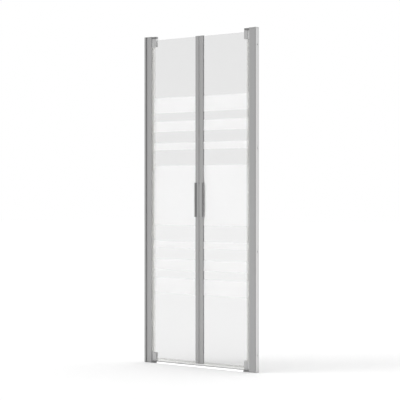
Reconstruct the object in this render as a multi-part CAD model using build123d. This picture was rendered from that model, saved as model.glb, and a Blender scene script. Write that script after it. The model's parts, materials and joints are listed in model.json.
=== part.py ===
from build123d import *
import os
from math import hypot

# Double pivot shower door for a niche: two glass leaves that swing in and out between two posts.
# Millimetres. X runs across the doorway, -Y is the outside, +Z is up.
# The origin is on the floor, midway between the walls, in the middle plane of the glass.
# Side parts are made for the right-hand half, X > 0, and mirrored for the left-hand half.
# Corner hardware is made for the top corner and mirrored about mid height for the bottom corner.

# Overall size and the pivot line
door_width = 880.0
door_height = 2000.0
pivot_from_wall = 78.5

# Wall channel: an extrusion on the wall, with two tongues that the post slides over
channel_reach = 13.0
channel_depth = 30.0
channel_base = 2.5
channel_wall = 2.2
channel_bead = 4.0
tongue_reach = 32.0
tongue_wall = 1.6
wall_hole_radius = 3.25
wall_hole_from_end = 100.0
wall_hole_inner_from_end = 700.0

# Post: a hollow extrusion with a closed chamber for the bracket screws and an open one at the back
post_from_wall = 54.0
post_depth = 21.0
post_wall = 1.6
post_chamber = 18.0
post_tail_gap = 6.0
tongue_gap = 0.4
lip_gap = 0.3
port_radius = 3.5
port_bore = 1.7
port_sink = 0.6
port_slot = 1.2
port_from_face = 9.0
edge_radius = 0.8

# Adjusting screws, from the inside of the shower, under caps
adjuster_from_wall = 24.0
adjuster_from_end = 200.0
adjuster_reach = 6.5
adjuster_cap_radius = 4.8
adjuster_cap_wall = 0.8
adjuster_cap_gap = 0.5
adjuster_head_chamfer = 0.6

# Pivot brackets: castings with an end cap, a locating lug and an arm that carries the bush
cap_thickness = 8.0
cap_overhang = 0.5
arm_thickness = 11.0
arm_from_end = 2.0
arm_width = 20.0
arm_past_pivot = 13.75
arm_corner = 3.0
arm_root = 12.0
lug_depth = 6.0
lug_length = 14.0
lug_fit = 0.3

# Pivot: a plain pin in a flanged plastic bush
pin_radius = 4.0
pin_grip = 20.0
pin_reach = 8.0
pin_play = 0.05
pin_fit = 0.02
bush_radius = 5.5
bush_length = 9.0
bush_end_gap = 0.2
bush_flange_radius = 8.5
bush_flange = 1.0
bush_fit = 0.02
pivot_lift = 0.3

# Glass leaf
glass_thickness = 6.0
glass_from_end = 23.0
glass_past_pivot = 10.5
glass_hole_radius = 5.5

# Glass clamp: two halves that grip the glass corner and the pin
clamp_width = 27.5
clamp_height = 50.0
clamp_plate = 6.0
clamp_block = 24.0
gasket_thickness = 1.0
clamp_gap = 1.0
clamp_chamfer = 0.8
notch_gap = 1.5
notch_radius = 3.0
clamp_screw_drop = 37.7
pin_screw_drop = 12.0
pin_screw_offset = 9.0
spigot_fit = 0.1

# Middle profile: the closing stile on the free edge of each leaf
stile_face = 4.5
stile_width = 26.0
stile_side = 2.75
stile_wall = 1.2
stile_corner = 1.0
stile_over_glass = 1.0
glazing_thickness = 0.75
glazing_gap = 0.25
pocket_depth = 14.5
magnet_slot_depth = 5.0
magnet_slot_width = 8.4
magnet_neck_width = 4.4
magnet_neck_depth = 1.5
stile_cap = 2.0
plug_length = 8.0
plug_fit = 0.2

# Magnetic closing seal
leaf_gap = 0.8
seal_head_width = 10.0
seal_fit = 0.3
seal_skin = 0.5
magnet_fit = 0.05
magnet_end_gap = 1.0

# Seals on the pivot edge and the bottom edge of the glass
swing_gap = 0.7
seal_wall = 1.0
seal_grip = 10.0
seal_glass_fit = 0.1
seal_end_gap = 1.0
bulb_length = 9.0
bulb_half = 6.0
bulb_corner = 1.6
sill_gap = 1.5
blade_tip = 0.35
drip_reach = 9.5
drip_drop = 5.0

# Threshold strip on the floor between the bottom brackets
sill_height = 13.0
sill_depth = 24.0
sill_top_depth = 10.0
sill_foot = 1.0
sill_wall = 1.6
sill_end = 6.0
sill_plug = 8.0
sill_end_gap = 0.5

# Handle: a plate on each side of the stile with a dished lip that stands off the glass
handle_length = 205.0
handle_height = 1000.0
handle_inset = 1.5
handle_thickness = 3.0
handle_flat = 18.0
handle_overhang = 3.5
handle_lip_rise = 5.5
handle_tip = 3.5
handle_tip_nose = 0.8
handle_dish = 0.7
handle_hollow = 1.5
handle_screw_spread = 160.0

# Screws: head radius, head height, shank radius
bracket_screw = (3.4, 1.9, 1.7)
adjusting_screw = (3.4, 1.7, 1.6)
clamp_screw = (5.0, 2.5, 2.5)
pin_screw = (3.6, 1.9, 1.7)
handle_screw = (2.8, 1.5, 1.5)
bracket_screw_length = 24.0
screw_clearance = 0.2
thread_end_gap = 0.5

# Places that follow from the sizes above
wall_x = door_width / 2
mouth_x = wall_x - channel_reach
tongue_x = wall_x - tongue_reach
pivot_x = wall_x - pivot_from_wall
post_x = wall_x - post_from_wall
tail_x = wall_x - post_tail_gap
post_half = post_depth / 2
post_inner = post_half - post_wall
tongue_half = post_inner - tongue_gap
port_x = post_x + port_from_face
port_y = post_inner - port_radius + port_sink
web_x = post_x + post_chamber
adjuster_x = wall_x - adjuster_from_wall
mid_height = door_height / 2
post_top = door_height - cap_thickness
arm_top = door_height - arm_from_end
arm_underside = arm_top - arm_thickness
arm_end_x = pivot_x - arm_past_pivot
arm_reach = hypot(arm_past_pivot - arm_corner, arm_width / 2 - arm_corner) + arm_corner
clamp_top = arm_underside - bush_flange - pivot_lift
clamp_bottom = clamp_top - clamp_height
clamp_x0 = pivot_x - clamp_width / 2
clamp_x1 = pivot_x + clamp_width / 2
glass_half = glass_thickness / 2
pocket_half = glass_half + gasket_thickness
clamp_face = pocket_half + clamp_plate
block_z = clamp_top - clamp_block
notch_z = block_z - notch_gap
notch_x = clamp_x0 - notch_gap
clamp_screw_z = clamp_top - clamp_screw_drop
pin_screw_z = clamp_top - pin_screw_drop
pin_screw_x = pivot_x + pin_screw_offset
glass_top = door_height - glass_from_end
glass_outer_x = pivot_x + glass_past_pivot
stile_top = glass_top + stile_over_glass
stile_x1 = stile_face + stile_width
pocket_x = stile_x1 - pocket_depth
slot_x1 = stile_face + magnet_slot_depth
bore_x = (slot_x1 + pocket_x) / 2
glass_inner_x = pocket_x + glazing_thickness + glazing_gap
stile_pocket_half = glass_half + glazing_thickness
stile_half = stile_pocket_half + stile_side
seal_radius = post_x - pivot_x - swing_gap
seal_inner = glass_half + seal_glass_fit
seal_outer = seal_inner + seal_wall
seal_base_z = glass_from_end - seal_glass_fit
seal_low_z = seal_base_z - seal_wall
sill_x = arm_end_x - sill_end_gap
to_the_top = (Align.CENTER, Align.CENTER, Align.MIN)


def rect(x0, x1, y0, y1):
    """A rectangle in the plan, by its limits."""
    return Pos((x0 + x1) / 2, (y0 + y1) / 2) * Rectangle(x1 - x0, y1 - y0)


def band(x0, x1, half):
    """A rectangle in the plan that is centred on the glass plane."""
    return rect(x0, x1, -half, half)


def pair(x0, x1, y0, y1):
    """A rectangle in the plan and its reflection in the glass plane."""
    return rect(x0, x1, y0, y1) + rect(x0, x1, -y1, -y0)


def raise_z(section, z0, z1):
    """A plan section extruded from height z0 to height z1."""
    return extrude(Pos(0, 0, z0) * section, amount=z1 - z0)


def run_x(section, x0, x1):
    """A section drawn in Y and Z, extruded from x0 to x1."""
    return extrude(Plane.YZ.offset(x0) * section, amount=x1 - x0)


def rod_z(x, z0, z1, radius):
    """An upright cylinder in the glass plane."""
    return raise_z(Pos(x, 0) * Circle(radius), z0, z1)


def rod_y(x, z, y0, y1, radius):
    """A cylinder across the glass plane, from depth y0 to depth y1."""
    return extrude(Plane((x, y0, z), z_dir=(0, 1, 0)) * Circle(radius), amount=y1 - y0)


def flip(solid):
    """The same piece for the other end of the door."""
    return mirror(solid, about=Plane.XY.offset(mid_height))


def both_ends(solids):
    return solids + [flip(solid) for solid in solids]


def from_inside(x, y, z):
    """A plane at depth y that faces into the shower, for screws driven towards the outside."""
    return Plane((x, y, z), x_dir=(1, 0, 0), z_dir=(0, -1, 0))


def countersink(size, place, depth):
    """A countersunk hole: the head's cone and a clearance bore, for cutting."""
    head_radius, head_height, shank_radius = size
    bore = shank_radius + screw_clearance
    cone = Cone(head_radius, bore, head_height, align=to_the_top)
    return place * (cone + Cylinder(bore, depth, align=to_the_top))


def screw(size, length, place):
    """A countersunk screw with a hexagon socket, its head flush with the place's plane."""
    head_radius, head_height, shank_radius = size
    outline = Polyline(
        (0, 0),
        (head_radius - screw_clearance, 0),
        (shank_radius, head_height - screw_clearance),
        (shank_radius, length),
        (0, length),
        close=True,
    )
    body = revolve(Plane.XZ * make_face(outline), axis=Axis.Z)
    socket = extrude(RegularPolygon(head_radius / 2.4, 6), amount=head_height * 0.8)
    return place * (body - socket)


# Wall channel
def wall_channel():
    half = channel_depth / 2
    section = band(mouth_x, wall_x, half)
    section -= band(mouth_x, wall_x - channel_base, half - channel_wall)
    section += pair(mouth_x, mouth_x + channel_bead, post_half + lip_gap, half)
    section += pair(tongue_x, wall_x, tongue_half - tongue_wall, tongue_half)
    front = section.vertices().group_by(Axis.X)[1]
    section = fillet([v for v in front if abs(v.Y) > half - edge_radius], edge_radius)
    channel = raise_z(section, cap_thickness, post_top)
    for from_end in (wall_hole_from_end, wall_hole_inner_from_end):
        for z in (from_end, door_height - from_end):
            hole = Plane((wall_x - channel_base, 0, z), z_dir=(1, 0, 0)) * Circle(wall_hole_radius)
            channel -= extrude(hole, amount=channel_base)
    for z in adjuster_heights():
        channel -= rod_y(adjuster_x, z, 0, tongue_half, adjusting_screw[2] + pin_fit)
    return channel


# Post
def post():
    section = band(post_x, tail_x, post_half)
    face = section.vertices().filter_by(lambda v: v.X < post_x + edge_radius)
    section = fillet(face, edge_radius)
    section -= band(post_x + post_wall, web_x, post_inner)
    section -= band(web_x + post_wall, tail_x, post_inner)
    for side in (-1, 1):
        port = Pos(port_x, side * port_y) * Circle(port_radius)
        section += port & band(post_x, web_x, post_half)
        section -= Pos(port_x, side * port_y) * Circle(port_bore)
        slot_y = side * (port_y - port_radius / 2)
        section -= Pos(port_x, slot_y) * Rectangle(port_slot, port_radius)
    body = raise_z(section, cap_thickness, post_top)
    for z in adjuster_heights():
        body -= rod_y(adjuster_x, z, 0, post_half, adjusting_screw[2] + screw_clearance)
    return body


# Adjusting screws and their caps
def adjuster_heights():
    return (adjuster_from_end, mid_height, door_height - adjuster_from_end)


def adjusting_screws():
    head_radius, head_height, shank_radius = adjusting_screw
    shank = Cylinder(shank_radius, adjuster_reach, align=to_the_top)
    head = Pos(0, 0, -head_height) * Cylinder(head_radius, head_height, align=to_the_top)
    head = chamfer(head.faces().sort_by(Axis.Z)[0].edges(), adjuster_head_chamfer)
    hexagon = RegularPolygon(head_radius / 2.4, 6)
    socket = Pos(0, 0, -head_height) * extrude(hexagon, amount=head_height * 0.7)
    return [from_inside(adjuster_x, post_half, z) * (head + shank - socket) for z in adjuster_heights()]


def screw_caps():
    head_radius, head_height, _ = adjusting_screw
    height = head_height + adjuster_cap_gap + adjuster_cap_wall
    dome = Pos(0, 0, -height) * Cylinder(adjuster_cap_radius, height, align=to_the_top)
    dome = chamfer(dome.faces().sort_by(Axis.Z)[0].edges(), adjuster_cap_wall)
    room = Cylinder(head_radius + adjuster_cap_gap, height - adjuster_cap_wall, align=to_the_top)
    room = Pos(0, 0, adjuster_cap_wall - height) * room
    return [from_inside(adjuster_x, post_half, z) * (dome - room) for z in adjuster_heights()]


# Brackets
def bracket():
    """The top bracket: end cap over post and channel, lug between the tongues, arm over the clamp."""
    plate = band(post_x - cap_overhang, wall_x, post_half + cap_overhang)
    plate += band(mouth_x - cap_overhang, wall_x, channel_depth / 2)
    cap = raise_z(plate, post_top, door_height)
    rim = cap.faces().sort_by(Axis.Z)[-1].edges()
    cap = chamfer([edge for edge in rim if edge.center().X < wall_x - edge_radius], edge_radius)
    arm = raise_z(arm_section(post_x - cap_overhang), arm_underside, arm_top)
    root = raise_z(arm_section(post_x + arm_root), post_top, arm_top)
    lug_x = (web_x + post_wall + wall_x - channel_base) / 2
    lug_half = tongue_half - tongue_wall - lug_fit
    lug_plan = band(lug_x - lug_length / 2, lug_x + lug_length / 2, lug_half)
    lug = raise_z(lug_plan, post_top - lug_depth, post_top)
    body = cap + root + arm + lug
    seat_top = arm_underside + bush_length + bush_end_gap
    body -= rod_z(pivot_x, arm_underside, seat_top, bush_radius + bush_fit)
    for place in bracket_screw_places():
        body -= countersink(bracket_screw, place, cap_thickness)
    return body


def arm_section(end_x):
    """The arm's plan, from its round nose under the pivot to end_x."""
    section = band(arm_end_x, end_x, arm_width / 2)
    nose = section.vertices().filter_by(lambda v: v.X < pivot_x)
    return fillet(nose, arm_corner)


def bracket_screw_places():
    spots = [(port_x, y, door_height) for y in (-port_y, port_y)]
    return [Plane(spot, x_dir=(1, 0, 0), z_dir=(0, 0, -1)) for spot in spots]


def bracket_screws():
    return [screw(bracket_screw, bracket_screw_length, place) for place in bracket_screw_places()]


# Pivot
def pivot_bush():
    sleeve = rod_z(pivot_x, arm_underside, arm_underside + bush_length, bush_radius)
    flange = rod_z(pivot_x, arm_underside - bush_flange, arm_underside, bush_flange_radius)
    bore = rod_z(pivot_x, arm_underside - bush_flange, arm_top, pin_radius + pin_play)
    return sleeve + flange - bore


def pivot_pin():
    pin = rod_z(pivot_x, clamp_top - pin_grip, arm_underside + pin_reach, pin_radius)
    return chamfer(pin.edges().filter_by(GeomType.CIRCLE), edge_radius)


# Glass
def glass():
    pane = raise_z(band(glass_inner_x, glass_outer_x, glass_half), glass_from_end, glass_top)
    return pane - corner_cut() - flip(corner_cut())


def corner_cut():
    """What a top corner loses for the clamp's block and the clamp's screw."""
    notch = band(notch_x, glass_outer_x + notch_gap, glass_thickness)
    cut = raise_z(notch, notch_z, glass_top + notch_gap)
    inner = cut.edges().filter_by(Axis.Y).group_by(Axis.Z)[0].sort_by(Axis.X)[0]
    cut = fillet(inner, notch_radius)
    return cut + rod_y(pivot_x, clamp_screw_z, -glass_thickness, glass_thickness, glass_hole_radius)


# Clamp
def clamp_half(side):
    """The half on the outside of the shower, side -1, or on the inside, side 1."""
    low, high = sorted((0, side * clamp_face))
    block = raise_z(rect(clamp_x0, clamp_x1, low, high), clamp_bottom, clamp_top)
    face = block.faces().sort_by(Axis.Y)[-1 if side > 0 else 0]
    block = chamfer(face.edges(), clamp_chamfer)
    block -= raise_z(band(clamp_x0, glass_outer_x + clamp_gap, pocket_half), clamp_bottom, block_z)
    block -= rod_z(pivot_x, clamp_top - pin_grip - thread_end_gap, clamp_top, pin_radius + pin_fit)
    for size, place in clamp_screw_places():
        if side > 0:
            block -= countersink(size, place, clamp_face)
        else:
            thread = Cylinder(size[2] + pin_fit, clamp_screw_length() + thread_end_gap, align=to_the_top)
            block -= place * thread
    return block


def clamp_screw_places():
    spots = ((clamp_screw, pivot_x, clamp_screw_z), (pin_screw, pin_screw_x, pin_screw_z))
    return [(size, from_inside(x, clamp_face, z)) for size, x, z in spots]


def clamp_screw_length():
    """The outer face stays smooth: the screws stop a plate's half short of it."""
    return clamp_face + pocket_half + clamp_plate / 2


def clamp_screws():
    return [screw(size, clamp_screw_length(), place) for size, place in clamp_screw_places()]


def clamp_gaskets():
    """A pad for each face of the glass, with a spigot that keeps the screw off the glass."""
    pad_x = rect(clamp_x0, glass_outer_x, -pocket_half, -glass_half)
    pad = raise_z(pad_x, clamp_bottom, notch_z)
    spigot = rod_y(pivot_x, clamp_screw_z, -glass_half, -spigot_fit, glass_hole_radius - spigot_fit)
    hole = rod_y(pivot_x, clamp_screw_z, -pocket_half, 0, clamp_screw[2] + screw_clearance)
    outer = pad + spigot - hole
    return [outer, mirror(outer, about=Plane.XZ)]


# Stile
def stile_outline():
    section = band(stile_face, stile_x1, stile_half)
    return fillet(section.vertices(), stile_corner)


def stile_chamber(fit):
    return band(slot_x1 + stile_wall + fit, pocket_x - stile_wall - fit, stile_half - stile_wall - fit)


def middle_profile():
    section = stile_outline()
    section -= band(pocket_x, stile_x1, stile_pocket_half)
    section -= band(stile_face + magnet_neck_depth, slot_x1, magnet_slot_width / 2)
    section -= band(stile_face, stile_face + magnet_neck_depth, magnet_neck_width / 2)
    section -= stile_chamber(0)
    stile = raise_z(section, door_height - stile_top, stile_top)
    for z in handle_screw_heights():
        stile -= rod_y(bore_x, z, -stile_half, stile_half, handle_screw[2] + screw_clearance)
    return stile


def profile_cap():
    cap = raise_z(stile_outline(), stile_top, stile_top + stile_cap)
    plug = raise_z(stile_chamber(plug_fit), stile_top - plug_length, stile_top)
    return cap + plug


def glazing_gasket():
    section = band(pocket_x, stile_x1, stile_pocket_half)
    section -= band(glass_inner_x, stile_x1, glass_half)
    return raise_z(section, glass_from_end, glass_top)


def magnet_room(fit):
    x0 = leaf_gap / 2 + seal_skin + fit
    x1 = stile_face - seal_fit - seal_skin - fit
    return band(x0, x1, seal_head_width / 2 - 2 * seal_skin - fit)


def magnet_seal():
    head_x = stile_face - seal_fit
    foot_x = stile_face + magnet_neck_depth + seal_fit
    section = fillet(band(leaf_gap / 2, head_x, seal_head_width / 2).vertices(), seal_skin)
    section += band(head_x - seal_skin, foot_x, magnet_neck_width / 2 - seal_fit)
    section += band(foot_x, slot_x1 - seal_fit, magnet_slot_width / 2 - seal_fit)
    return raise_z(section - magnet_room(0), glass_from_end, glass_top)


def magnet_strip():
    return raise_z(magnet_room(magnet_fit), glass_from_end + magnet_end_gap, glass_top - magnet_end_gap)


# Seals
def side_seal():
    """Clips on the pivot edge; its hollow bulb has an outer face that is an arc about the pivot."""
    base_x = glass_outer_x + seal_glass_fit
    grip_x = glass_outer_x - seal_grip
    section = band(grip_x, base_x + seal_wall, seal_outer) - band(grip_x, base_x, seal_inner)
    bulb_x = pivot_x + seal_radius - bulb_length
    section += band(base_x, bulb_x + seal_wall, seal_wall / 2)
    section += bulb(bulb_x, 0) - bulb(bulb_x, seal_wall)
    return raise_z(section, door_height - clamp_bottom + seal_end_gap, clamp_bottom - seal_end_gap)


def bulb(start_x, inset):
    """The bulb's outline, or its hollow when inset by a wall."""
    disc = Pos(pivot_x, 0) * Circle(seal_radius - inset)
    section = disc & band(start_x + inset, pivot_x + seal_radius, bulb_half - inset)
    back = section.vertices().sort_by(Axis.X)[:2]
    return fillet(back, bulb_corner - inset / 2)


def bottom_seal():
    """Clips on the bottom edge, with a blade over the threshold and a fin that drips inwards."""
    blade_z = sill_height + sill_gap
    fin_z = seal_low_z - drip_drop
    section = rect(-seal_outer, seal_outer, seal_low_z, seal_base_z + seal_grip)
    section -= rect(-seal_inner, seal_inner, seal_base_z, seal_base_z + seal_grip)
    blade = Polyline(
        (-seal_wall, seal_low_z),
        (seal_wall, seal_low_z),
        (blade_tip, blade_z),
        (-blade_tip, blade_z),
        close=True,
    )
    fin = Polyline(
        (seal_inner, seal_base_z),
        (seal_outer, seal_base_z),
        (drip_reach, fin_z + seal_wall),
        (drip_reach, fin_z),
        (seal_inner, seal_low_z),
        close=True,
    )
    section += make_face(blade) + make_face(fin)
    return run_x(section, stile_x1 + seal_end_gap, pivot_x - arm_reach - swing_gap)


# Threshold
def sill_outline(inset):
    half, top, height = sill_depth / 2 - inset, sill_top_depth / 2 - inset, sill_height - inset
    right = [(half, 0), (half, sill_foot), (top, height)]
    left = [(-y, z) for y, z in reversed(right)]
    return make_face(Polyline(*right, *left, close=True))


def threshold_strip():
    section = sill_outline(0) - sill_outline(sill_wall)
    section += rect(-sill_wall / 2, sill_wall / 2, 0, sill_height - sill_wall / 2)
    return run_x(section, sill_end - sill_x, sill_x - sill_end)


def threshold_end():
    """Closes the strip's end; a tab each side of the strip's web plugs into it."""
    start = sill_x - sill_end
    end = run_x(sill_outline(0), start, sill_x)
    inner, outer = sill_wall / 2 + plug_fit, sill_top_depth / 2 - sill_wall - plug_fit
    tab = run_x(rect(inner, outer, 0, sill_height - sill_wall - plug_fit), start - sill_plug, start)
    return end + tab + mirror(tab, about=Plane.XZ)


# Handles
def handle_screw_heights():
    return (handle_height - handle_screw_spread / 2, handle_height + handle_screw_spread / 2)


def handle_blank():
    """The handle on the inside, without holes: a flat plate, then a dished lip with a round nose."""
    back, front = stile_half, stile_half + handle_thickness
    flat_x = handle_inset + handle_flat
    nose_x = stile_x1 + handle_overhang
    tip_x = nose_x - handle_tip_nose
    tip_y = back + handle_lip_rise
    heel_y = tip_y - handle_tip
    outline = [
        Polyline((stile_x1, back), (handle_inset, back), (handle_inset, front), (flat_x, front)),
        ThreePointArc((flat_x, front), ((flat_x + tip_x) / 2, front + handle_dish), (tip_x, tip_y)),
        ThreePointArc((tip_x, tip_y), (nose_x, (tip_y + heel_y) / 2), (tip_x, heel_y)),
        ThreePointArc((tip_x, heel_y), ((tip_x + stile_x1) / 2, back + handle_hollow), (stile_x1, back)),
    ]
    low = handle_height - handle_length / 2
    return raise_z(make_face(outline), low, low + handle_length)


def handle_outer():
    """On the outside of the stile, with blind threads, so that its face stays smooth."""
    handle = mirror(handle_blank(), about=Plane.XZ)
    for z in handle_screw_heights():
        bottom_y = thread_end_gap - stile_half - handle_thickness
        handle -= rod_y(bore_x, z, bottom_y, 0, handle_screw[2] + pin_fit)
    return handle


def handle_inner():
    handle = handle_blank()
    for place in handle_screw_places():
        handle -= countersink(handle_screw, place, handle_thickness)
    return handle


def handle_screw_places():
    return [from_inside(bore_x, stile_half + handle_thickness, z) for z in handle_screw_heights()]


def handle_screws():
    length = 2 * (stile_half + handle_thickness - thread_end_gap)
    return [screw(handle_screw, length, place) for place in handle_screw_places()]


# The pieces of the right-hand half, by name
def half_frame():
    top = bracket()
    return {
        "wall_channel": wall_channel(),
        "post": post(),
        "adjusting_screws": adjusting_screws(),
        "screw_caps": screw_caps(),
        "bracket_top": top,
        "bracket_bottom": flip(top),
        "threshold_end": threshold_end(),
    }


def half_leaf():
    clamp_outer, clamp_inner, cap = clamp_half(-1), clamp_half(1), profile_cap()
    return {
        "glass": glass(),
        "clamp_outer_top": clamp_outer,
        "clamp_inner_top": clamp_inner,
        "clamp_outer_bottom": flip(clamp_outer),
        "clamp_inner_bottom": flip(clamp_inner),
        "clamp_gaskets": both_ends(clamp_gaskets()),
        "clamp_screws": both_ends(clamp_screws()),
        "pivot_pins": both_ends([pivot_pin()]),
        "middle_profile": middle_profile(),
        "glazing_gasket": glazing_gasket(),
        "profile_cap_top": cap,
        "profile_cap_bottom": flip(cap),
        "magnet_seal": magnet_seal(),
        "magnet_strip": magnet_strip(),
        "side_seal": side_seal(),
        "bottom_seal": bottom_seal(),
        "handle_outer": handle_outer(),
        "handle_inner": handle_inner(),
        "handle_screws": handle_screws(),
    }


def shared_pieces():
    """Small parts of the frame that are alike on both sides."""
    return {
        "pivot_bushes": both_ends([pivot_bush()]),
        "bracket_screws": both_ends(bracket_screws()),
    }


def write(name, pieces):
    solids = [solid for piece in pieces for solid in piece.solids()]
    export_step(solids[0] if len(solids) == 1 else Compound(solids), f"parts/{name}.step")


def mirrored(pieces):
    return [mirror(piece, about=Plane.YZ) for piece in pieces]


os.makedirs("parts", exist_ok=True)
for name, made in {**half_frame(), **half_leaf()}.items():
    pieces = made if isinstance(made, list) else [made]
    write(name + "_right", pieces)
    write(name + "_left", mirrored(pieces))
for name, pieces in shared_pieces().items():
    write(name, pieces + mirrored(pieces))
write("threshold_strip", [threshold_strip()])
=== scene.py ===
import json
import math

import bpy
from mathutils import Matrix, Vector


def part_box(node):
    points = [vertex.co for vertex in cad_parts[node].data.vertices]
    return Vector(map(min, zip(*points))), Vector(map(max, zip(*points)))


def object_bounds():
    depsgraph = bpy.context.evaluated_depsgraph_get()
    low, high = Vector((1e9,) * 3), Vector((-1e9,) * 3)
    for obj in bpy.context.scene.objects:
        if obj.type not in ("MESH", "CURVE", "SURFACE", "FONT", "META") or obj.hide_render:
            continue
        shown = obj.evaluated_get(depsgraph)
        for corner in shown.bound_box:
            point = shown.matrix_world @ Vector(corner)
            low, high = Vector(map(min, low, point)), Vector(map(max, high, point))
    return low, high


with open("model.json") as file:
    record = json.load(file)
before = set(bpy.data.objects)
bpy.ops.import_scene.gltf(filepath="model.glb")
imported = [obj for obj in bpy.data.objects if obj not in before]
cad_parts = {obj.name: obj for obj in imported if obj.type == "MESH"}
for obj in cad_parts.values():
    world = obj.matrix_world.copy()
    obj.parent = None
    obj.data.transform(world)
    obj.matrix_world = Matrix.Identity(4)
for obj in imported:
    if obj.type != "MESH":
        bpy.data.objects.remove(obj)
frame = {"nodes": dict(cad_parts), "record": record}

# Looks of a double pivot shower door. Metres, in the frame of the model:
# +X to the right-hand wall, +Y into the shower, +Z up, origin on the floor between the walls.

# Places taken from the model
cad_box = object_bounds()
door_height = cad_box[1][2]
post_low, post_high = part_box("post_right")
margin = 0.0005

# Camera: level, to the right of the door, at the photograph's angle of view
view_angle = math.radians(41.05)
view_distance = 8.866
view_height = 1.019
focal_length = 133.52
sensor_width = 36.0
image_width = 400.0
picture_centre_x = 199.98
horizon_row = 196.62
far_end = 200.0

# Satin bands of the glass: the height of their middle, and how far from it each begins and ends, the same
# above and below it
band_middle = 1.026
band_reaches = ((-0.181, 0.181), (0.275, 0.320), (0.386, 0.452), (0.500, 0.596))
band_edge = 0.0015
band_clearness = 0.7
band_roughness = 0.35
glass_bending = 1.5

# Clear plastics: how much light they let through, and how much they bend it
seal_clearness = 0.92
seal_bending = 1.05
magnet_seal_clearness = 0.35
magnet_seal_bending = 1.35

# Where painted shade begins, from the middle of the door: on the bracket's arm under its end cap, on the
# wall channel's flange beside the post and in the dished lip of each handle; and from the floor: the
# sill's bead
arm_root = post_low[0] - margin
flange_root = post_high[0] + margin
left_lip = -0.0135
right_lip = 0.0225
bead_foot = 0.0072

# How squarely a surface faces the room, at least, to count as a face of the glass or of the flange
glass_face = 0.9
flange_face = 0.7

# Greys, as sRGB values from 0 to 255
profile_grey = 162
# Painted shade on the wall channel's flange beside the post
flange_painted_shade_grey = 138
clamp_grey = 176
cap_grey = 156
# Painted shade on the bracket's arm under its end cap
arm_painted_shade_grey = 126
handle_grey = 164
# Painted shade in the dished lip of each handle
lip_painted_shade_grey = 120
sill_grey = 246
# Painted shade along the sill's bead
bead_painted_shade_grey = 140
steel_grey = 178
# Painted light on the clear glass: lighter towards the bottom, darker towards the top
glass_low_painted_light_grey = 236
glass_high_painted_shade_grey = 229
band_grey = 253
seal_grey = 248
magnet_seal_grey = 190
magnet_grey = 60
gasket_grey = 150
moulded_grey = 150
bush_grey = 225

# Roughness of each finish
profile_roughness = 0.34
handle_roughness = 0.30
clamp_roughness = 0.32
bracket_roughness = 0.38
steel_smoothest, steel_roughest = 0.18, 0.32
seal_roughness = 0.05
magnet_seal_roughness = 0.25
magnet_roughness = 0.65
gasket_roughness = 0.60
moulded_roughness = 0.45
bush_roughness = 0.40

# Textures: grains or lines in a metre, how far lines are drawn out along a piece, and how deep they are
line_scale = 900.0
line_stretch = 0.012
blast_scale = 1800.0
lathe_scale = 1200.0
mould_scale = 1400.0
satin_scale = 2600.0
profile_cloud_scale = 30.0
cast_cloud_scale = 60.0
mould_cloud_scale = 45.0
seal_cloud_scale = 90.0
seal_cloud_stretch = 0.15
line_depth = 0.00004
grain_depth = 0.00003
satin_depth = 0.00001
relief = 0.3
satin_relief = 0.15

# Light: a soft sky with a weak sun, and what the floor gains where it is seen, so that it is white
sky_strength = 0.94
sun_strength = 0.5
sun_softness = 25.0
sun_from = (-0.45, -0.58, 0.68)
floor_lift = 0.03
floor_white = 0.97
floor_roughness = 0.9
floor_reach = 40.0
floor_drop = 0.0005

# What metal reflects: a studio that is brighter at the right rear and dimmer at the right front
bright_side = (0.654, 0.757, 0.0)
bright_gain = 0.85
bright_power = 2.0
dim_side = (0.654, -0.757, 0.0)
dim_loss = 0.5
dim_power = 3.0


def linear(grey, tint=(1.0, 1.0, 1.0)):
    """An sRGB grey of 0 to 255 as a linear colour, with an optional tint."""
    value = grey / 255
    level = value / 12.92 if value <= 0.04045 else ((value + 0.055) / 1.055) ** 2.4
    return tuple(level * part for part in tint) + (1.0,)


# Node helpers
def new_material(name):
    material = bpy.data.materials.new(name)
    material.use_nodes = True
    tree = material.node_tree
    return material, tree, tree.nodes["Principled BSDF"]


def add(tree, kind, **values):
    """A node of that kind; names of its own settings or, where it has no such setting, of its inputs."""
    node = tree.nodes.new(kind)
    for key, value in values.items():
        if hasattr(node, key):
            setattr(node, key, value)
        else:
            node.inputs[key.replace("_", " ")].default_value = value
    return node


def feed(tree, socket, value):
    """Links a socket to another one, or gives it a plain number or colour."""
    if isinstance(value, bpy.types.NodeSocket):
        tree.links.new(value, socket)
    else:
        socket.default_value = value


def math_node(tree, operation, first, second=0.0):
    node = add(tree, "ShaderNodeMath", operation=operation)
    feed(tree, node.inputs[0], first)
    feed(tree, node.inputs[1], second)
    return node.outputs[0]


def blend(tree, factor, first, second):
    """The first number where the factor is 0, and the second where it is 1."""
    node = add(tree, "ShaderNodeMapRange")
    feed(tree, node.inputs["Value"], factor)
    feed(tree, node.inputs["To Min"], first)
    feed(tree, node.inputs["To Max"], second)
    return node.outputs["Result"]


def blend_colours(tree, factor, first, second):
    """The first colour where the factor is 0, and the second where it is 1."""
    node = add(tree, "ShaderNodeMix", data_type="RGBA")
    feed(tree, node.inputs["Factor"], factor)
    feed(tree, node.inputs["A"], first)
    feed(tree, node.inputs["B"], second)
    return node.outputs["Result"]


def own_place(tree):
    """The object's own coordinates, in metres."""
    return add(tree, "ShaderNodeTexCoord").outputs["Object"]


def coordinate(tree, axis):
    """The object's own coordinate along one axis, in metres."""
    split = add(tree, "ShaderNodeSeparateXYZ")
    tree.links.new(own_place(tree), split.inputs[0])
    return split.outputs[axis]


def off_middle(tree):
    """How far a point is from the middle of the door, to the left or right."""
    return math_node(tree, "ABSOLUTE", coordinate(tree, "X"))


def facing(tree, axis):
    """How squarely the surface faces along one of the object's axes, on either side, from 0 to 1."""
    split = add(tree, "ShaderNodeSeparateXYZ")
    tree.links.new(add(tree, "ShaderNodeTexCoord").outputs["Normal"], split.inputs[0])
    return math_node(tree, "ABSOLUTE", split.outputs[axis])


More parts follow.
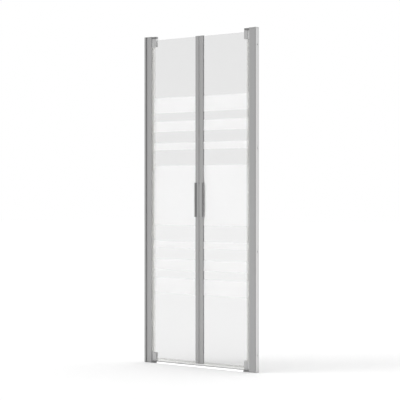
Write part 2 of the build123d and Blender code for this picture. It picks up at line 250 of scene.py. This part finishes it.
def noise(tree, scale, detail=2.0, stretch=(1.0, 1.0, 1.0)):
    """Noise with so many grains in a metre, drawn out along an axis whose stretch is below 1."""
    mapping = add(tree, "ShaderNodeMapping", Scale=stretch)
    tree.links.new(own_place(tree), mapping.inputs["Vector"])
    node = add(tree, "ShaderNodeTexNoise", Scale=scale, Detail=detail)
    tree.links.new(mapping.outputs["Vector"], node.inputs["Vector"])
    return node.outputs["Fac"]


def shade(tree, bsdf, colour, texture, spread):
    """Base colour that varies by a small share, so that a surface isn't one flat value."""
    darker = tuple(part * (1 - spread) for part in colour[:3]) + (1.0,)
    lighter = tuple(part * (1 + spread) for part in colour[:3]) + (1.0,)
    tree.links.new(blend_colours(tree, texture, darker, lighter), bsdf.inputs["Base Color"])


def roughen(tree, bsdf, texture, low, high):
    tree.links.new(blend(tree, texture, low, high), bsdf.inputs["Roughness"])


def bump(tree, bsdf, texture, depth, strength=relief):
    node = add(tree, "ShaderNodeBump", Strength=strength, Distance=depth)
    tree.links.new(texture, node.inputs["Height"])
    tree.links.new(node.outputs["Normal"], bsdf.inputs["Normal"])


# Metals
def anodised(name, grey, roughness, along=(1.0, 1.0, line_stretch)):
    """Satin anodised extrusion: fine draw lines along its length, over a faint cloud."""
    material, tree, bsdf = new_material(name)
    lines = noise(tree, line_scale, 3.0, along)
    bsdf.inputs["Metallic"].default_value = 1.0
    shade(tree, bsdf, linear(grey), lines, 0.05)
    roughen(tree, bsdf, noise(tree, profile_cloud_scale), roughness - 0.04, roughness + 0.04)
    bump(tree, bsdf, lines, line_depth)
    return material


def cast_metal(name, grey, roughness):
    """Blasted and plated casting: a fine even grain."""
    material, tree, bsdf = new_material(name)
    grain = noise(tree, blast_scale)
    bsdf.inputs["Metallic"].default_value = 1.0
    shade(tree, bsdf, linear(grey), noise(tree, cast_cloud_scale), 0.04)
    roughen(tree, bsdf, grain, roughness - 0.05, roughness + 0.08)
    bump(tree, bsdf, grain, grain_depth)
    return material


def painted_shade_tone(material, mask, grey):
    """The same finish in a darker grey where the mask is 1, as painted shade."""
    tree = material.node_tree
    base = tree.nodes["Principled BSDF"].inputs["Base Color"]
    plain = base.links[0].from_socket
    tree.links.new(blend_colours(tree, mask, plain, linear(grey)), base)
    return material


def profile_metal():
    """Anodised profiles; the wall channel's flange is painted darker on its faces to the room than the
    post, as shade beside the post.
    """
    material = anodised("anodised_profile", profile_grey, profile_roughness)
    tree = material.node_tree
    outer = math_node(tree, "GREATER_THAN", off_middle(tree), flange_root)
    flat = math_node(tree, "GREATER_THAN", facing(tree, "Y"), flange_face)
    return painted_shade_tone(material, math_node(tree, "MULTIPLY", outer, flat), flange_painted_shade_grey)


def bracket_metal():
    """A casting whose arm is painted darker than its end cap, as shade under the cap."""
    material = cast_metal("cast_bracket", cap_grey, bracket_roughness)
    tree = material.node_tree
    return painted_shade_tone(material, math_node(tree, "LESS_THAN", off_middle(tree), arm_root), arm_painted_shade_grey)


def handle_metal():
    """An anodised handle whose dished lip is painted darker than its flat, as shade in the dish."""
    material = anodised("anodised_handle", handle_grey, handle_roughness)
    tree = material.node_tree
    across = coordinate(tree, "X")
    left = math_node(tree, "LESS_THAN", across, left_lip)
    right = math_node(tree, "GREATER_THAN", across, right_lip)
    return painted_shade_tone(material, math_node(tree, "MAXIMUM", left, right), lip_painted_shade_grey)


def sill_metal():
    """An anodised sill with a pale foot, and painted shade on the bead along its top."""
    material = anodised("anodised_sill", sill_grey, profile_roughness, (line_stretch, 1.0, 1.0))
    tree = material.node_tree
    return painted_shade_tone(material, math_node(tree, "GREATER_THAN", coordinate(tree, "Z"), bead_foot), bead_painted_shade_grey)


def stainless():
    """Turned stainless steel of the screws and pins."""
    material, tree, bsdf = new_material("stainless")
    turned = noise(tree, lathe_scale, 1.0)
    bsdf.inputs["Metallic"].default_value = 1.0
    shade(tree, bsdf, linear(steel_grey), turned, 0.08)
    roughen(tree, bsdf, turned, steel_smoothest, steel_roughest)
    return material


# Glass and plastics
def band_mask(tree):
    """1 in the satin bands and 0 in the clear glass, from the height alone."""
    away = math_node(tree, "ABSOLUTE", math_node(tree, "SUBTRACT", coordinate(tree, "Z"), band_middle))
    mask = 0.0
    for low, high in band_reaches:
        middle, half = (low + high) / 2, (high - low) / 2
        inside = add(tree, "ShaderNodeMapRange", From_Min=half + band_edge, From_Max=half - band_edge)
        distance = math_node(tree, "ABSOLUTE", math_node(tree, "SUBTRACT", away, middle))
        tree.links.new(distance, inside.inputs["Value"])
        mask = math_node(tree, "MAXIMUM", mask, inside.outputs["Result"])
    return mask


def glass_material():
    """Clear float glass; its satin bands and its ground edges scatter the light and look white."""
    material, tree, bsdf = new_material("banded_glass")
    ground_edge = math_node(tree, "LESS_THAN", facing(tree, "Y"), glass_face)
    mask = math_node(tree, "MAXIMUM", band_mask(tree), ground_edge)
    # Painted light: the clear glass is drawn lighter towards the bottom and darker towards the top
    height = math_node(tree, "DIVIDE", coordinate(tree, "Z"), door_height)
    clear = blend_colours(tree, height, linear(glass_low_painted_light_grey), linear(glass_high_painted_shade_grey))
    tree.links.new(blend_colours(tree, mask, clear, linear(band_grey)), bsdf.inputs["Base Color"])
    roughen(tree, bsdf, mask, 0.0, band_roughness)
    tree.links.new(blend(tree, mask, 1.0, band_clearness), bsdf.inputs["Transmission Weight"])
    bsdf.inputs["IOR"].default_value = glass_bending
    satin = math_node(tree, "MULTIPLY", noise(tree, satin_scale), mask)
    bump(tree, bsdf, satin, satin_depth, satin_relief)
    return material


def clear_plastic(name, grey, roughness, clearness, bending):
    """Flexible clear seal, a little cloudy."""
    material, tree, bsdf = new_material(name)
    cloud = noise(tree, seal_cloud_scale, 2.0, (1.0, 1.0, seal_cloud_stretch))
    shade(tree, bsdf, linear(grey, (1.0, 1.0, 0.99)), cloud, 0.02)
    roughen(tree, bsdf, cloud, roughness, roughness + 0.12)
    bsdf.inputs["Transmission Weight"].default_value = clearness
    bsdf.inputs["IOR"].default_value = bending
    return material


def plastic(name, grey, roughness):
    """Moulded plastic or soft rubber with a fine spark-eroded grain."""
    material, tree, bsdf = new_material(name)
    grain = noise(tree, mould_scale, 3.0)
    shade(tree, bsdf, linear(grey), noise(tree, mould_cloud_scale), 0.04)
    roughen(tree, bsdf, grain, roughness - 0.06, roughness + 0.06)
    bump(tree, bsdf, grain, grain_depth)
    return material


def make_finishes():
    """One material for each material slot of the model."""
    return {
        "profile": profile_metal(),
        "handle": handle_metal(),
        "sill": sill_metal(),
        "clamp": cast_metal("satin_clamp", clamp_grey, clamp_roughness),
        "bracket": bracket_metal(),
        "steel": stainless(),
        "glass": glass_material(),
        "clear_seal": clear_plastic("clear_seal", seal_grey, seal_roughness, seal_clearness, seal_bending),
        "magnet_seal": clear_plastic("magnet_seal", magnet_seal_grey, magnet_seal_roughness,
                                     magnet_seal_clearness, magnet_seal_bending),
        "magnet": plastic("magnetic_rubber", magnet_grey, magnet_roughness),
        "gasket": plastic("grey_gasket", gasket_grey, gasket_roughness),
        "cap": plastic("moulded_cap", moulded_grey, moulded_roughness),
        "bush": plastic("acetal_bush", bush_grey, bush_roughness),
    }


def dress_nodes():
    """Gives every node of the model the finish of its material slot."""
    finishes = make_finishes()
    for part in frame["record"]["subparts"]:
        materials = frame["nodes"][part["node"]].data.materials
        materials.clear()
        materials.append(finishes[part["material_slot"]])


# Stage: world, floor, sun and camera
def seen_plainly(tree, path):
    """1 where the camera sees it, also through glass."""
    return math_node(tree, "MAXIMUM", path.outputs["Is Camera Ray"], path.outputs["Is Transmission Ray"])


def after_gloss(tree, path):
    """1 for what metal or glass reflects, also through more glass."""
    return math_node(tree, "MINIMUM", path.outputs["Glossy Depth"], 1.0)


def studio_side(tree, direction, side, power, strength):
    """A side of the studio: its strength in its own direction, falling to 0 at right angles to it."""
    dot = add(tree, "ShaderNodeVectorMath", operation="DOT_PRODUCT")
    tree.links.new(direction, dot.inputs[0])
    dot.inputs[1].default_value = side
    towards = math_node(tree, "MAXIMUM", dot.outputs["Value"], 0.0)
    return math_node(tree, "MULTIPLY", math_node(tree, "POWER", towards, power), strength)


def make_world():
    """A white background, a soft sky for the light, and the studio for what metal reflects."""
    world = bpy.data.worlds.new("studio")
    bpy.context.scene.world = world
    world.use_nodes = True
    tree = world.node_tree
    light = tree.nodes["Background"]
    light.inputs["Color"].default_value = (1.0, 1.0, 1.0, 1.0)
    path = add(tree, "ShaderNodeLightPath")
    direction = add(tree, "ShaderNodeTexCoord").outputs["Generated"]
    brighter = studio_side(tree, direction, bright_side, bright_power, bright_gain)
    dimmer = studio_side(tree, direction, dim_side, dim_power, dim_loss)
    studio = math_node(tree, "ADD", math_node(tree, "SUBTRACT", brighter, dimmer), 1.0)
    reflected = after_gloss(tree, path)
    lit = blend(tree, reflected, sky_strength, studio)
    direct = math_node(tree, "SUBTRACT", 1.0, reflected)
    plain = math_node(tree, "MULTIPLY", seen_plainly(tree, path), direct)
    tree.links.new(blend(tree, plain, lit, 1.0), light.inputs["Strength"])


def floor_material():
    """Pale floor, white where no shadow falls, with the studio's bright side for what metal reflects."""
    material, tree, bsdf = new_material("pale_floor")
    bsdf.inputs["Base Color"].default_value = (floor_white, floor_white, floor_white, 1.0)
    bsdf.inputs["Roughness"].default_value = floor_roughness
    bsdf.inputs["Specular IOR Level"].default_value = 0.0
    bsdf.inputs["Emission Color"].default_value = (1.0, 1.0, 1.0, 1.0)
    path = add(tree, "ShaderNodeLightPath")
    seen = math_node(tree, "MAXIMUM", seen_plainly(tree, path), path.outputs["Is Glossy Ray"])
    lift = math_node(tree, "MULTIPLY", seen, floor_lift)
    direction = add(tree, "ShaderNodeVectorMath", operation="NORMALIZE")
    tree.links.new(own_place(tree), direction.inputs[0])
    brighter = studio_side(tree, direction.outputs["Vector"], bright_side, bright_power, bright_gain)
    extra = math_node(tree, "MULTIPLY", brighter, after_gloss(tree, path))
    tree.links.new(math_node(tree, "ADD", lift, extra), bsdf.inputs["Emission Strength"])
    return material


def make_floor():
    """A flat square under the door that keeps its soft shadow."""
    mesh = bpy.data.meshes.new("floor")
    ends = (-floor_reach, floor_reach)
    corners = [(x, y, 0.0) for x in ends for y in ends]
    mesh.from_pydata(corners, [], [(0, 2, 3, 1)])
    mesh.materials.append(floor_material())
    floor = bpy.data.objects.new("floor", mesh)
    floor.location.z = -floor_drop
    bpy.context.scene.collection.objects.link(floor)


def make_sun():
    data = bpy.data.lights.new("sun", "SUN")
    data.energy = sun_strength
    data.angle = math.radians(sun_softness)
    sun = bpy.data.objects.new("sun", data)
    sun.rotation_euler = (-Vector(sun_from)).to_track_quat("-Z", "Y").to_euler()
    bpy.context.scene.collection.objects.link(sun)


def make_camera():
    data = bpy.data.cameras.new("camera")
    data.sensor_fit = "HORIZONTAL"
    data.sensor_width = sensor_width
    data.lens = focal_length
    data.shift_x = (image_width / 2 - picture_centre_x) / image_width
    data.shift_y = (horizon_row - image_width / 2) / image_width
    data.clip_end = far_end
    camera = bpy.data.objects.new("camera", data)
    side, back = math.sin(view_angle), math.cos(view_angle)
    camera.location = (side * view_distance, -back * view_distance, view_height)
    camera.rotation_euler = (math.radians(90.0), 0.0, view_angle)
    bpy.context.scene.collection.objects.link(camera)
    bpy.context.scene.camera = camera


dress_nodes()
make_world()
make_floor()
make_sun()
make_camera()
bpy.context.scene.view_settings.view_transform = "Standard"
